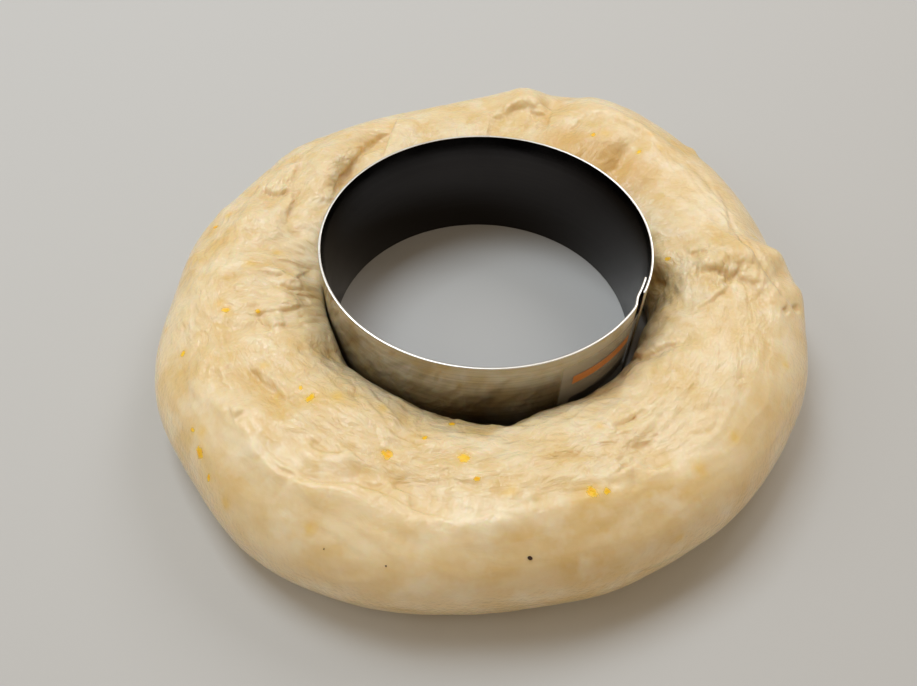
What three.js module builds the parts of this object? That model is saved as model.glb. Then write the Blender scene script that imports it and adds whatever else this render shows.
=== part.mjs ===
// A king cake before baking: a ring of raw sweet dough shaped round a plain steel pastry ring,
// which keeps the hole open. Millimetres, +Z up, standing on Z = 0, seen from the front along +Y.

import * as THREE from "three";
import { mergeVertices } from "three/addons/utils/BufferGeometryUtils.js";

// Driving dimensions of the steel ring, a rolled strip whose ends overlap
const RING_DIAMETER = 100;
const RING_HEIGHT = 40;
const STRIP_THICKNESS = 0.8;
const LAP_TURN = -23.6; // degrees, where the outer end of the strip lies
const LAP_LENGTH = 6; // how far the inner end runs on past it
const LAP_GAP = 0.35; // between the two layers of the overlap
const JOGGLE_LENGTH = 5; // stretch over which the strip steps in by one layer
const JOGGLE_LEAD = 1.5; // the step is over this far before the overlap starts
const STRIP_STEPS = 124;

// Driving dimensions of the dough, at twelve even stations anticlockwise from +X
const STATIONS = [
  { outer: 99.8, inner: 53, crest: 31 }, // right
  { outer: 101, inner: 50, crest: 32 },
  { outer: 106, inner: 48, crest: 34 },
  { outer: 102, inner: 48, crest: 29.5 }, // back
  { outer: 97, inner: 48, crest: 28.5 },
  { outer: 95, inner: 48, crest: 30 },
  { outer: 98.6, inner: 48, crest: 31 }, // left
  { outer: 105, inner: 49, crest: 31 },
  { outer: 108, inner: 49.5, crest: 32 },
  { outer: 104, inner: 53, crest: 31 }, // front
  { outer: 100.5, inner: 50.5, crest: 32 },
  { outer: 102.5, inner: 52, crest: 32 },
];
const STEEL_CLEARANCE = 0.4;
const BELLY_SHARE = 0.42; // height of the widest point, as a share of the crest
const SIDE_POWER = 0.8; // under 1 gives fuller shoulders than an ellipse
const TOP_POWER = 0.9;
const UNDERCUT = 1.6; // how soon the underside meets the table

// Hand-shaped relief. A place on the skin is a turn round the ring and a lean across it, both in
// degrees: lean 0 faces outwards, 90 is the crest and 180 faces the steel. Sizes are lengths.
const LUMPS = [
  { turn: 83, lean: 70, around: 8, across: 8, lift: 4.6 }, // knuckle on the back crest
  { turn: 74, lean: 72, around: 4, across: 9, lift: -3.2 }, // dip beside it
  { turn: 66, lean: 68, around: 9, across: 9, lift: 2 },
  { turn: 83, lean: 87, around: 13, across: 6, lift: -2 }, // hollow under the knuckle
  { turn: 67, lean: 96, around: 4, across: 7, lift: -2 },
  { turn: 158, lean: 80, around: 6, across: 4, lift: -2.5 }, // thumb dent at the back left
  { turn: 168, lean: 88, around: 9, across: 7, lift: 1.5 },
  { turn: 129, lean: 99, around: 6, across: 5, lift: 1.6 }, // slab under the fold at the back left
  { turn: 6, lean: 87, around: 9, across: 8, lift: 2 }, // cluster of knobs on the right
  { turn: 0, lean: 105, around: 6, across: 6, lift: 1.5 },
  { turn: 354, lean: 111, around: 6, across: 6, lift: 1.5 },
  { turn: 5, lean: 56, around: 5, across: 6, lift: 2.2 }, // bulges low on the right
  { turn: 1, lean: 55, around: 3, across: 7, lift: -1.5 },
  { turn: 356, lean: 42, around: 6, across: 7, lift: 1.5 },
  { turn: 1, lean: 155, around: 10, across: 9, lift: -5 }, // pocket beside the overlap
  { turn: 219, lean: 150, around: 7, across: 10, lift: -2.5 }, // pocket at the left of the steel
  { turn: 224, lean: 18, around: 15, across: 15, lift: -3 }, // flatter stretch at the front left
  { turn: 12, lean: 40, around: 8, across: 12, lift: -2 },
  { turn: 239, lean: 86, around: 10, across: 4, lift: -1.2 }, // pressed dents along the front
  { turn: 256, lean: 84, around: 7, across: 4, lift: -1.5 },
  { turn: 304, lean: 86, around: 8, across: 6, lift: -2 }, // torn hollow at the front right
];
const FOLDS = [
  { from: { turn: 124, lean: 83 }, to: { turn: 140, lean: 102 }, width: 4, depth: 3.2, lip: 1.7 },
  { from: { turn: 140, lean: 102 }, to: { turn: 147, lean: 112 }, width: 3.5, depth: 2, lip: 1 },
  { from: { turn: 49, lean: 95 }, to: { turn: 46, lean: 124 }, width: 4, depth: 3, lip: 0.5 },
  { from: { turn: 163, lean: 92 }, to: { turn: 170, lean: 112 }, width: 3.5, depth: 1.8, lip: 0.5 },
  { from: { turn: 216, lean: 84 }, to: { turn: 229, lean: 94 }, width: 3.5, depth: 1.8, lip: 1.2 },
  { from: { turn: 347, lean: 121 }, to: { turn: 1, lean: 89 }, width: 3.5, depth: 2.2, lip: 0.6 },
  { from: { turn: 357, lean: 86 }, to: { turn: 352, lean: 76 }, width: 3.5, depth: 1.8, lip: 0.5 },
  { from: { turn: 327, lean: 136 }, to: { turn: 334, lean: 116 }, width: 3.5, depth: 1.6, lip: 0.4 },
];
const FRONT_LIP = { from: { turn: 224, lean: 77 }, to: { turn: 300, lean: 75 }, width: 5, lift: 1 };
const PLEATS = { from: 177, to: 204, count: 4, lean: 118, around: 4, across: 11, lift: -1.8 };
const UNDULATIONS = [
  { around: 5, across: 1, phase: 40, lift: 0.7 },
  { around: 8, across: -2, phase: 200, lift: 0.5 },
  { around: 13, across: 2, phase: 310, lift: 0.3 },
];
const MEAN_RADIUS = 75; // these two turn the angles into lengths along the skin
const GIRTH_RADIUS = 23;
const RELIEF_FADE = 6; // height over which the relief grows from nothing at the table

const STEPS_AROUND = 128;
const STEPS_ACROSS = 38;
const CROWDING = 0.45; // draws the rows across towards the crest and away from the flat base

const DEGREE = Math.PI / 180;
const FULL_TURN = 2 * Math.PI;
const ringRadius = RING_DIAMETER / 2;
const { smoothstep, euclideanModulo } = THREE.MathUtils;

const stationCurve = new THREE.CatmullRomCurve3(
  STATIONS.map((s) => new THREE.Vector3(s.outer, s.inner, s.crest)),
  true,
  "catmullrom",
);

function sectionSizes(turn) {
  const { x: outer, y: inner, z: crest } = stationCurve.getPoint(
    euclideanModulo(turn / FULL_TURN, 1),
  );
  const half = (outer - inner) / 2;
  return { middle: inner + half, half, crest, belly: crest * BELLY_SHARE };
}

// The smooth dough: radius and height of the section at a turn and a lean, in radians.
function smoothSection(turn, lean) {
  const { middle, half, crest, belly } = sectionSizes(turn);
  const side = Math.sign(Math.cos(lean)) * Math.abs(Math.cos(lean)) ** SIDE_POWER;
  const rise = Math.sin(lean);
  const height =
    rise > 0 ? belly + (crest - belly) * rise ** TOP_POWER : belly * (1 + UNDERCUT * rise);
  return { radius: middle + half * side, height, middle, belly };
}

// Where a point of the skin lies from a given place, as lengths around and across.
function offsetFrom(place, turn, lean) {
  const halfTurn = Math.PI;
  const around = euclideanModulo(turn - place.turn * DEGREE + halfTurn, FULL_TURN) - halfTurn;
  const across = euclideanModulo(lean - place.lean * DEGREE + halfTurn, FULL_TURN) - halfTurn;
  return new THREE.Vector2(around * MEAN_RADIUS, across * GIRTH_RADIUS);
}

const bell = (x) => Math.exp(-x * x);

function lumpLift(lump, turn, lean) {
  const offset = offsetFrom(lump, turn, lean);
  return lump.lift * bell(offset.x / lump.around) * bell(offset.y / lump.across);
}

// Distance from the line between two places, positive on the outer side of the ring.
function lineOffset({ from, to }, turn, lean) {
  const point = offsetFrom(from, turn, lean);
  const line = offsetFrom(from, to.turn * DEGREE, to.lean * DEGREE);
  const share = THREE.MathUtils.clamp(point.dot(line) / line.lengthSq(), 0, 1);
  const distance = point.distanceTo(line.clone().multiplyScalar(share));
  const turned = Math.sign(line.cross(point)) * Math.sign(line.x);
  return distance * (turned > 0 ? -1 : 1);
}

// A groove whose outer side stands up as a lip.
function foldLift(fold, turn, lean) {
  const away = lineOffset(fold, turn, lean) / fold.width;
  return fold.lip * bell(away - 1.5) - fold.depth * bell(away);
}

const pleats = Array.from({ length: PLEATS.count }, (_, i) => ({
  ...PLEATS,
  turn: THREE.MathUtils.lerp(PLEATS.from, PLEATS.to, i / (PLEATS.count - 1)),
}));

function relief(turn, lean) {
  let lift = FRONT_LIP.lift * bell(lineOffset(FRONT_LIP, turn, lean) / FRONT_LIP.width);
  for (const lump of [...LUMPS, ...pleats]) lift += lumpLift(lump, turn, lean);
  for (const fold of FOLDS) lift += foldLift(fold, turn, lean);
  for (const wave of UNDULATIONS) {
    lift += wave.lift * Math.sin(wave.around * turn + wave.across * lean + wave.phase * DEGREE);
  }
  return lift;
}

// The relief stands out from the core of the section, and stays clear of steel and table.
function doughPoint(turn, lean) {
  const { radius, height, middle, belly } = smoothSection(turn, lean);
  const outwards = new THREE.Vector2(radius - middle, height - belly).normalize();
  const lift = relief(turn, lean) * smoothstep(height, 0, RELIEF_FADE);
  const shapedRadius = Math.max(radius + lift * outwards.x, ringRadius + STEEL_CLEARANCE);
  return new THREE.Vector3(
    shapedRadius * Math.cos(turn),
    shapedRadius * Math.sin(turn),
    Math.max(height + lift * outwards.y, 0),
  );
}

// The dough starts as a torus whose texture coordinates give each point's place on the ring.
function doughGeometry() {
  const torus = new THREE.TorusGeometry(MEAN_RADIUS, GIRTH_RADIUS, STEPS_ACROSS, STEPS_AROUND);
  const { position, uv } = torus.attributes;
  for (let i = 0; i < position.count; i++) {
    const turn = uv.getX(i) * FULL_TURN;
    const even = uv.getY(i) * FULL_TURN;
    const point = doughPoint(turn, even + CROWDING * Math.cos(even));
    position.setXYZ(i, point.x, point.y, point.z);
  }
  torus.deleteAttribute("uv");
  torus.deleteAttribute("normal");
  return mergeVertices(torus, 1e-3);
}

// Plan view of the strip: once round from its outer end, then a step in and on inside its start.
function stripOutline() {
  const meanRadius = ringRadius - STRIP_THICKNESS / 2;
  const runs = FULL_TURN + LAP_LENGTH / meanRadius;
  const stepEnd = FULL_TURN - JOGGLE_LEAD / meanRadius;
  const stepStart = stepEnd - JOGGLE_LENGTH / meanRadius;
  const edge = (offset) =>
    Array.from({ length: STRIP_STEPS + 1 }, (_, i) => {
      const along = (runs * i) / STRIP_STEPS;
      const inwards = (STRIP_THICKNESS + LAP_GAP) * smoothstep(along, stepStart, stepEnd);
      const radius = meanRadius - inwards + offset;
      const turn = LAP_TURN * DEGREE + along;
      return new THREE.Vector2(radius * Math.cos(turn), radius * Math.sin(turn));
    });
  return new THREE.Shape([
    ...edge(STRIP_THICKNESS / 2),
    ...edge(-STRIP_THICKNESS / 2).reverse(),
  ]);
}

function node(name, geometry, colour, roughness, metalness) {
  const material = new THREE.MeshStandardMaterial({ color: colour, roughness, metalness });
  const mesh = new THREE.Mesh(geometry, material);
  mesh.name = name;
  return mesh;
}

const dough = node("dough_ring", doughGeometry(), 0xe6cd96, 0.55, 0);
const steel = node(
  "steel_ring",
  new THREE.ExtrudeGeometry(stripOutline(), { depth: RING_HEIGHT, bevelEnabled: false }),
  0xb8b6b2,
  0.22,
  1,
);

// The two stand together, moved so that the middle of the whole outline is the origin.
const cake = new THREE.Group();
cake.add(dough, steel);
const middle = new THREE.Box3().setFromObject(cake).getCenter(new THREE.Vector3());
cake.position.set(-middle.x, -middle.y, 0);

const part = new THREE.Group();
part.add(cake);

export default part;
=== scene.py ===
"""Looks of a king cake before baking: raw dough flecked with orange zest round a steel pastry ring."""

import math
import random

import bpy
import numpy as np
from mathutils import Matrix, Vector, noise


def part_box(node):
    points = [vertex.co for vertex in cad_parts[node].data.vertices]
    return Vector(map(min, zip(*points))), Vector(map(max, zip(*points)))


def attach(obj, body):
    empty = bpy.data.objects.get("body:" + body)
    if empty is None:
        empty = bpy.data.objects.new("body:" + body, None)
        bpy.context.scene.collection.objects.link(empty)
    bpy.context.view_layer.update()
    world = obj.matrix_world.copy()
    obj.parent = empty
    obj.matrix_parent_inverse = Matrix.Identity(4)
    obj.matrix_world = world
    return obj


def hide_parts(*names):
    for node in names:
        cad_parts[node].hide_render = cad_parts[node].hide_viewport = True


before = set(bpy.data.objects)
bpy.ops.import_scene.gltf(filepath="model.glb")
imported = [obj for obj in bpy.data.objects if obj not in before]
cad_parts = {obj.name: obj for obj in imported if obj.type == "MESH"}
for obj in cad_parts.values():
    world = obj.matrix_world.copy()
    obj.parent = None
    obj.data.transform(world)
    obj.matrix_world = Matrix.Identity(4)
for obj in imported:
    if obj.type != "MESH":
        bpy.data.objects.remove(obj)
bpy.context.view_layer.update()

MM = 0.001
UP = Vector((0, 0, 1))
SEED = 20
noise.seed_set(SEED)  # noise vectors depend on it

# Where the steel ring stands
RING_LOW, RING_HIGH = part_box("steel_ring")
RING_CENTRE = Vector(((RING_LOW.x + RING_HIGH.x) / 2, (RING_LOW.y + RING_HIGH.y) / 2, 0))
RING_RADIUS = (RING_HIGH.x - RING_LOW.x) / 2
RING_HEIGHT = RING_HIGH.z

# The photograph's camera, from the centre of the ring's foot
PHOTO_WIDTH = 917
PHOTO_HEIGHT = 686
FOCAL_LENGTH = 786.3  # pixels
CAMERA_DISTANCE = 266.8 * MM
CAMERA_RISE = math.radians(49.34)
AIM_RIGHT = math.radians(-1.586)
AIM_UP = math.radians(-1.499)
CAMERA_ROLL = math.radians(0.989)
SENSOR_WIDTH = 36  # mm
OUTLINE_SLACK = 6  # pixels

# Middle of the dough's section, for the way round and over its skin
SECTION_RADIUS = 76 * MM
SECTION_HEIGHT = 13 * MM
SECTION_GIRTH = 23 * MM


def camera_axes():
    """Where the photograph's camera stands, and its right, up and forward directions."""
    back = Vector((0, -math.cos(CAMERA_RISE), math.sin(CAMERA_RISE)))
    place = RING_CENTRE + back * CAMERA_DISTANCE
    level = Vector((1, 0, 0))
    forward = -back + level * math.tan(AIM_RIGHT) + level.cross(-back) * math.tan(AIM_UP)
    forward.normalize()
    level = forward.cross(UP).normalized()
    upright = level.cross(forward)
    right = level * math.cos(CAMERA_ROLL) + upright * math.sin(CAMERA_ROLL)
    return place, right, right.cross(forward), forward


def on_photo(piece, x, y):
    """Place and normal of a piece under a photo point, which is drawn in a little where it just misses."""
    place, right, up, forward = camera_axes()
    for _ in range(OUTLINE_SLACK):
        across = (x - PHOTO_WIDTH / 2) / FOCAL_LENGTH
        down = (y - PHOTO_HEIGHT / 2) / FOCAL_LENGTH
        ray = (forward + right * across - up * down).normalized()
        met, spot, normal, _ = piece.ray_cast(place, ray)
        if met:
            return spot, normal
        x += math.copysign(1, PHOTO_WIDTH / 2 - x)
        y += math.copysign(1, PHOTO_HEIGHT / 2 - y)
    raise ValueError(f"pixel {x}, {y} misses {piece.name}")


def select_only(piece):
    """Makes a piece the only selected and active object."""
    bpy.ops.object.select_all(action="DESELECT")
    piece.select_set(True)
    bpy.context.view_layer.objects.active = piece


def modify(piece, kind, **settings):
    """Adds a modifier with its settings."""
    modifier = piece.modifiers.new(kind.lower(), kind)
    for key, value in settings.items():
        setattr(modifier, key, value)
    return modifier


def apply(piece, kind, **settings):
    """Adds a modifier with its settings and applies it."""
    select_only(piece)
    bpy.ops.object.modifier_apply(modifier=modify(piece, kind, **settings).name)


def points_of(piece):
    """The places and normals of a piece's points, as two arrays."""
    size = len(piece.data.vertices) * 3
    places = np.empty(size, np.float32)
    normals = np.empty(size, np.float32)
    piece.data.vertices.foreach_get("co", places)
    piece.data.vertices.foreach_get("normal", normals)
    return places.reshape(-1, 3).astype(float), normals.reshape(-1, 3).astype(float)


def deselect_mesh():
    """Deselects every point, edge and face of the active piece."""
    bpy.ops.object.mode_set(mode="EDIT")
    bpy.ops.mesh.select_all(action="DESELECT")
    bpy.ops.object.mode_set(mode="OBJECT")


def store(piece, name, values):
    """Keeps a value or a vector for each point of a piece, for its material."""
    kind = "FLOAT_VECTOR" if values.ndim == 2 else "FLOAT"
    layer = piece.data.attributes.new(name, kind, "POINT")
    field = "vector" if values.ndim == 2 else "value"
    layer.data.foreach_set(field, values.astype(np.float32).ravel())


# Dough

# Folds: photo points along a crease, ordered so that the side on the left stands proud, then the height
# of the step and how far it reaches, in mm
FOLDS = (
    (((333, 191), (338, 179), (346, 169), (357, 156), (366, 146), (379, 135), (388, 131)), 1.5, 9),
    (((400, 117), (392, 130), (387, 142), (383, 155)), 1.4, 8),
    (((264, 189), (272, 193), (282, 194), (292, 191)), 1.2, 7),
    (((292, 183), (293, 173), (300, 163)), 1.0, 6),
    (((287, 217), (289, 209), (294, 199), (293, 190)), 1.2, 6),
    (((262, 268), (272, 273), (284, 276)), 0.9, 4),
    (((286, 287), (295, 290), (304, 291)), 0.6, 5),
    (((280, 309), (290, 309), (301, 306)), 0.7, 6),
    (((277, 327), (288, 322), (299, 321), (310, 327)), 0.6, 6),
    (((296, 276), (303, 272), (310, 266)), 0.7, 5),
    (((262, 318), (267, 323), (272, 328)), 0.8, 3),
    (((248, 366), (256, 373), (263, 381), (276, 390), (290, 398)), 0.7, 5),
    (((214, 366), (222, 380), (232, 388)), 0.5, 4),
    (((230, 409), (234, 417), (243, 411)), 0.4, 3),
    (((292, 469), (282, 463), (266, 450), (256, 433)), 0.75, 6),
    (((330, 483), (319, 482), (306, 477), (296, 471)), 0.6, 6),
    (((441, 517), (420, 511), (395, 499), (381, 493), (355, 484), (319, 482)), 0.6, 7),
    (((349, 451), (339, 454), (326, 453), (311, 447), (307, 441)), 0.8, 5),
    (((413, 491), (407, 491), (397, 488), (391, 480)), 1.1, 5),
    (((633, 447), (646, 441), (655, 440)), 0.6, 5),
    (((631, 466), (623, 468), (618, 463)), 0.8, 3),
    (((668, 461), (658, 468), (646, 471)), 0.6, 3),
    (((632, 358), (643, 357), (654, 353), (666, 346), (680, 343)), 0.8, 4),
    (((689, 254), (697, 250), (708, 248)), 0.6, 4),
    (((697, 270), (706, 268), (716, 270), (731, 277), (739, 269)), 1.2, 8),
    (((758, 274), (758, 262), (752, 252), (742, 244)), 0.6, 7),
    (((690, 313), (700, 307), (712, 299), (724, 290), (734, 281)), 0.7, 6),
    (((737, 278), (748, 281), (757, 283)), 0.8, 4),
    (((796, 311), (781, 296), (766, 273), (743, 245), (732, 228), (721, 195)), 0.5, 5),
    (((552, 112), (549, 120), (547, 132)), 0.8, 6),
)
# Folds with a softer step
SOFT_FOLDS = (
    (((650, 484), (600, 492), (565, 498), (517, 507), (470, 515), (441, 517)), 0.4, 8),
    (((504, 115), (513, 109), (524, 106), (534, 108), (544, 119)), 1.1, 6),
    (((486, 137), (490, 124), (498, 112)), 0.8, 7),
    (((574, 113), (596, 113), (618, 120), (640, 131)), 0.6, 9),
)

# Grooves and ridges: photo points along the line, then height and half width, in mm
LINES = (
    (((476, 512), (487, 515), (499, 514)), -0.25, 2.5),
    (((358, 159), (366, 154), (375, 149), (382, 145)), 1.1, 2.2),
    (((253, 431), (262, 450), (281, 470), (302, 478), (324, 480)), -0.5, 0.9),
    (((696, 271), (706, 267), (719, 271), (731, 279)), -0.4, 0.8),
    (((714, 289), (724, 284), (736, 276)), -0.7, 0.8),
    (((614, 426), (624, 423), (634, 418), (641, 414)), -1.0, 0.9),
    (((631, 419), (638, 415), (648, 409)), -0.6, 1.2),
    (((734, 283), (745, 281), (757, 286), (767, 293), (773, 303), (775, 314)), 0.7, 2.2),
    (((784, 307), (789, 314)), -0.8, 1.5),
    (((796, 304), (799, 313)), -0.9, 1.5),
    (((569, 131), (573, 126), (581, 119)), -0.9, 1.2),
    (((614, 174), (621, 160), (629, 144)), -0.9, 2.5),
    (((628, 573), (658, 562), (686, 547)), 0.3, 1.5),
    (((252, 367), (260, 376), (268, 383), (280, 391)), -0.9, 1.3),
    (((257, 312), (264, 321), (272, 328)), -0.8, 1.2),
    (((300, 300), (309, 299)), -0.8, 1.5),
    (((227, 328), (228, 343)), -0.4, 2.5),
    (((180, 330), (190, 326)), -0.4, 1.5),
)

# Lumps, hollows and pits: photo point, then height and radius, in mm
KNOBS = (
    ((523, 97), 0.8, 5),
    ((553, 107), -1.0, 3.5),
    ((521, 117), 0.5, 4),
    ((708, 275), 0.7, 2.2),
    ((722, 280), 0.9, 2.6),
    ((707, 289), 0.7, 2.0),
    ((720, 257), 0.6, 3.5),
    ((745, 257), 0.9, 5),
    ((655, 449), -0.9, 5.5),
    ((666, 459), -0.7, 3),
    ((606, 401), -0.5, 2),
    ((355, 393), -0.9, 1.8),
    ((714, 219), -0.5, 1.5),
    ((304, 264), -0.9, 5),
    ((251, 231), -0.6, 2),
    ((294, 234), -0.7, 2),
    ((277, 253), -0.6, 2),
    ((231, 275), -0.7, 2.5),
    ((355, 474), -0.6, 1.8),
    ((475, 486), -0.4, 1.2),
    ((499, 489), -0.4, 1.2),
    ((708, 396), -0.4, 1.2),
    ((743, 378), -0.4, 1.2),
    ((696, 147), 0.8, 2.2),
    ((779, 251), 0.6, 3),
    ((782, 271), -0.8, 3),
    ((797, 290), 0.8, 4),
    ((194, 258), 0.8, 4),
    ((208, 232), -0.5, 4),
    ((226, 209), 0.7, 4),
    ((330, 142), -0.4, 4),
    ((352, 135), 0.6, 4),
    ((436, 109), 0.6, 4),
    ((612, 170), -0.7, 7),
    ((594, 152), -0.6, 6),
    ((665, 261), 3.0, 5),
    ((677, 281), 2.6, 5),
    ((667, 300), 1.8, 4),
    ((420, 490), -0.9, 8),
    ((440, 497), -0.6, 7),
)

# Torn and crumpled patches: photo point, then radius in mm
CRUMPLED = (
    ((604, 456), 12),
    ((640, 425), 9),
    ((525, 113), 10),
    ((715, 275), 13),
    ((755, 275), 9),
    ((250, 235), 10),
    ((260, 410), 12),
    ((235, 290), 10),
    ((440, 500), 10),
    ((520, 500), 10),
)
# Smoother stretches: photo point, then radius in mm
CALM = (
    ((362, 150), 16),
    ((305, 180), 10),
    ((284, 190), 9),
    ((650, 185), 20),
    ((740, 350), 22),
    ((330, 380), 12),
)
CALM_SHARE = 0.6  # how much of the skin's own relief they lose
CRUMPLE_SCALE = 260  # per metre
CRUMPLE_HEIGHT = 0.35 * MM
CRUMPLE_SHIFT = 5  # where in the noise the crumpling is taken
MERGE_DISTANCE = 0.01 * MM
BLANK_LEVELS = 2  # rounds of smoothing
FINE_REACH = 2.6 * MM  # the mesh is finer this near a crease
FOLD_EDGE = 0.4 * MM  # half width of a fold's step
SOFT_EDGE = 1.1 * MM
FOLD_END = 0.25  # share of the height left at the ends of a fold, and of a groove or ridge
LINE_END = 0.2
TAPER = 5  # how soon both reach their full height
PAST_END = 0.5  # how far a fold runs out past its ends, as a share of its reach
ROLL_CENTRE = 0.35  # where a fold's roll is highest and how wide it is, as shares of its reach
ROLL_WIDTH = 0.6
HOLLOW_SHARE = 0.75  # depth of the hollow beside a fold, as a share of its rise
HOLLOW_WIDTH = 0.9  # and its width, as a share of the fold's reach
WANDER = 0.5 * MM  # how far noise pulls creases off their line
WANDER_SCALE = 220  # per metre
STEEL_MARGIN = 0.5 * MM
MARGIN_FADE = 3 * MM  # the relief grows to its full height this far from steel and table


def dough_blank():
    """A copy of the CAD dough, merged, made into quads and smoothed."""
    dough = bpy.data.objects.new("raw_dough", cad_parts["dough_ring"].data.copy())
    bpy.context.scene.collection.objects.link(dough)
    dough.data.materials.clear()
    select_only(dough)
    bpy.ops.object.mode_set(mode="EDIT")
    bpy.ops.mesh.select_all(action="SELECT")
    bpy.ops.mesh.remove_doubles(threshold=MERGE_DISTANCE)
    bpy.ops.mesh.customdata_custom_splitnormals_clear()
    bpy.ops.mesh.tris_convert_to_quads(face_threshold=math.pi, shape_threshold=math.pi)
    bpy.ops.object.mode_set(mode="OBJECT")
    bpy.ops.object.shade_smooth()
    apply(dough, "SUBSURF", levels=BLANK_LEVELS, render_levels=BLANK_LEVELS)
    return dough


def unrolled(places):
    """Points of the skin on a circle for the way round the ring, with the way over it as height."""
    out = places - np.array(RING_CENTRE)
    reach = np.hypot(out[:, 0], out[:, 1])
    over = np.arctan2(out[:, 2] - SECTION_HEIGHT, reach - SECTION_RADIUS)
    over[over < -math.pi / 2] += 2 * math.pi
    circle = out[:, :2] / reach[:, None] * SECTION_RADIUS
    return np.column_stack((circle, over * SECTION_GIRTH))


def eased(share):
    """A share from 0 to 1 with a soft start and end."""
    return share * share * (3 - 2 * share)


def window(values, low, high, soft):
    """1 between two limits, falling softly to 0 outside them."""
    rising = np.clip((values - low) / soft + 0.5, 0, 1)
    falling = np.clip((high - values) / soft + 0.5, 0, 1)
    return eased(rising) * eased(falling)


def way_round(places):
    """The way round the ring and over its skin, in degrees, for each place."""
    flat = unrolled(places)
    turn = np.degrees(np.arctan2(flat[:, 1], flat[:, 0])) % 360
    return turn, np.degrees(flat[:, 2] / SECTION_GIRTH)


# Stretches of the skin, in degrees round the ring or over it: from, to and how soft their ends are
DRAWN_BACK = (15, 128, 25)
DRAWN_LEFT = (168, 212, 20)
DRAWN_SLOPE = (80, 200, 30)
CALM_FRONT = (305, 352, 25)
CALM_BACK = (12, 60, 25)
RIGHT_PAST_START = (-60, 70, 30)
RIGHT_TO_START = (335, 400, 30)
LOW_LEFT = (130, 218, 30)
SHORT_LEFT = (125, 215, 30)
# Where shade is painted: the steep inner slope at the back right
PAINTED_SHADE_TURN = (36, 74, 16)
PAINTED_SHADE_OVER = (100, 200, 36)


def radial_share(places):
    """Where the skin is drawn out across the ring and not along it: the back and left inner slopes."""
    turn, over = way_round(places)
    slopes = np.maximum(window(turn, *DRAWN_BACK), window(turn, *DRAWN_LEFT))
    return slopes * window(over, *DRAWN_SLOPE)


def room(places):
    """How freely the relief may stand at each point: 0 against the steel or the table."""
    out = places - np.array(RING_CENTRE)
    reach = np.hypot(out[:, 0], out[:, 1])
    beside = np.clip((reach - RING_RADIUS - STEEL_MARGIN) / MARGIN_FADE, 0, 1)
    above = np.clip(places[:, 2] / MARGIN_FADE, 0, 1)
    return beside * above


def wandered(places):
    """The places, each pulled aside by smooth noise."""
    pulls = [noise.noise_vector(Vector(p) * WANDER_SCALE) for p in places]
    return places + np.array(pulls) * WANDER


def beside_path(places, path):
    """Distance of each place from a path, the offset from it, the path's heading and its share there."""
    nearest = np.full(len(places), np.inf)
    offset = np.zeros_like(places)
    heading = np.zeros_like(places)
    share = np.zeros(len(places))
    lengths = [np.linalg.norm(b - a) for a, b in zip(path, path[1:])]
    gone = 0.0
    for start, end, length in zip(path, path[1:], lengths):
        run = (end - start) / length
        along = np.clip((places - start) @ run, 0, length)
        gap = places - start - along[:, None] * run
        distance = np.linalg.norm(gap, axis=1)
        closer = distance < nearest
        nearest[closer] = distance[closer]
        offset[closer] = gap[closer]
        heading[closer] = run
        share[closer] = (gone + along[closer]) / sum(lengths)
        gone += length
    return nearest, offset, heading, share


def photo_spot(dough, pixel):
    """The place on the dough under a photo point."""
    return np.array(on_photo(dough, *pixel)[0])


def photo_path(dough, pixels):
    """Places on the dough under a row of photo points."""
    return [photo_spot(dough, pixel) for pixel in pixels]


def refine(dough, paths):
    """Splits the faces beside the creases in four, so that these can be sharp."""
    centres = np.empty(len(dough.data.polygons) * 3, np.float32)
    dough.data.polygons.foreach_get("center", centres)
    centres = centres.reshape(-1, 3).astype(float)
    nearest = np.full(len(centres), np.inf)
    for path in paths:
        nearest = np.minimum(nearest, beside_path(centres, path)[0])
    select_only(dough)
    bpy.ops.object.mode_set(mode="EDIT")
    bpy.ops.mesh.select_mode(type="FACE")
    bpy.ops.mesh.select_all(action="DESELECT")
    bpy.ops.object.mode_set(mode="OBJECT")
    dough.data.polygons.foreach_set("select", nearest < FINE_REACH)
    bpy.ops.object.mode_set(mode="EDIT")
    bpy.ops.mesh.subdivide(number_cuts=1)
    bpy.ops.mesh.select_mode(type="VERT")
    bpy.ops.object.mode_set(mode="OBJECT")


def tapered(share, end):
    """The share of the height left along a path, which thins out towards both ends."""
    return np.clip(TAPER * share * (1 - share) + end, 0, 1)


def fold_lift(places, normals, path, rise, reach, edge):
    """Lift of a fold: a rounded roll on the left of the path over a hollow on its right."""
    distance, offset, heading, share = beside_path(places, path)
    left = np.einsum("ij,ij->i", np.cross(normals, heading), offset)
    width = reach * MM
    past_end = np.exp(-np.maximum(distance ** 2 - left ** 2, 0) / (PAST_END * width) ** 2)
    roll = np.exp(-((left / width - ROLL_CENTRE) / ROLL_WIDTH) ** 2)
    hollow = np.exp(-((left / (HOLLOW_WIDTH * width)) ** 2))
    side = 0.5 + 0.5 * np.tanh(left / edge)
    step = side * roll - HOLLOW_SHARE * (1 - side) * hollow
    return rise * MM * tapered(share, FOLD_END) * past_end * step


def line_lift(places, path, rise, half_width):
    """Lift of a groove or a ridge that thins out towards its ends."""
    distance, _, _, share = beside_path(places, path)
    return rise * MM * tapered(share, LINE_END) * np.exp(-((distance / (half_width * MM)) ** 2))


def nearness(places, spot, radius):
    """1 at a spot, falling off over a radius in mm."""
    distance = np.linalg.norm(places - spot, axis=1)
    return np.exp(-((distance / (radius * MM)) ** 2))


def press(dough, lift):
    """Moves each point along its normal by its lift, through one weight group for up and one for down."""
    for name, amount, way in (("raised", np.maximum(lift, 0), 1), ("sunk", np.maximum(-lift, 0), -1)):
        most = float(amount.max())
        group = dough.vertex_groups.new(name=name)
        for index in np.nonzero(amount > 0)[0]:
            group.add([int(index)], float(amount[index] / most), "REPLACE")
        apply(dough, "DISPLACE", strength=way * most, mid_level=0, vertex_group=name)
        dough.vertex_groups.remove(dough.vertex_groups[name])


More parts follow.
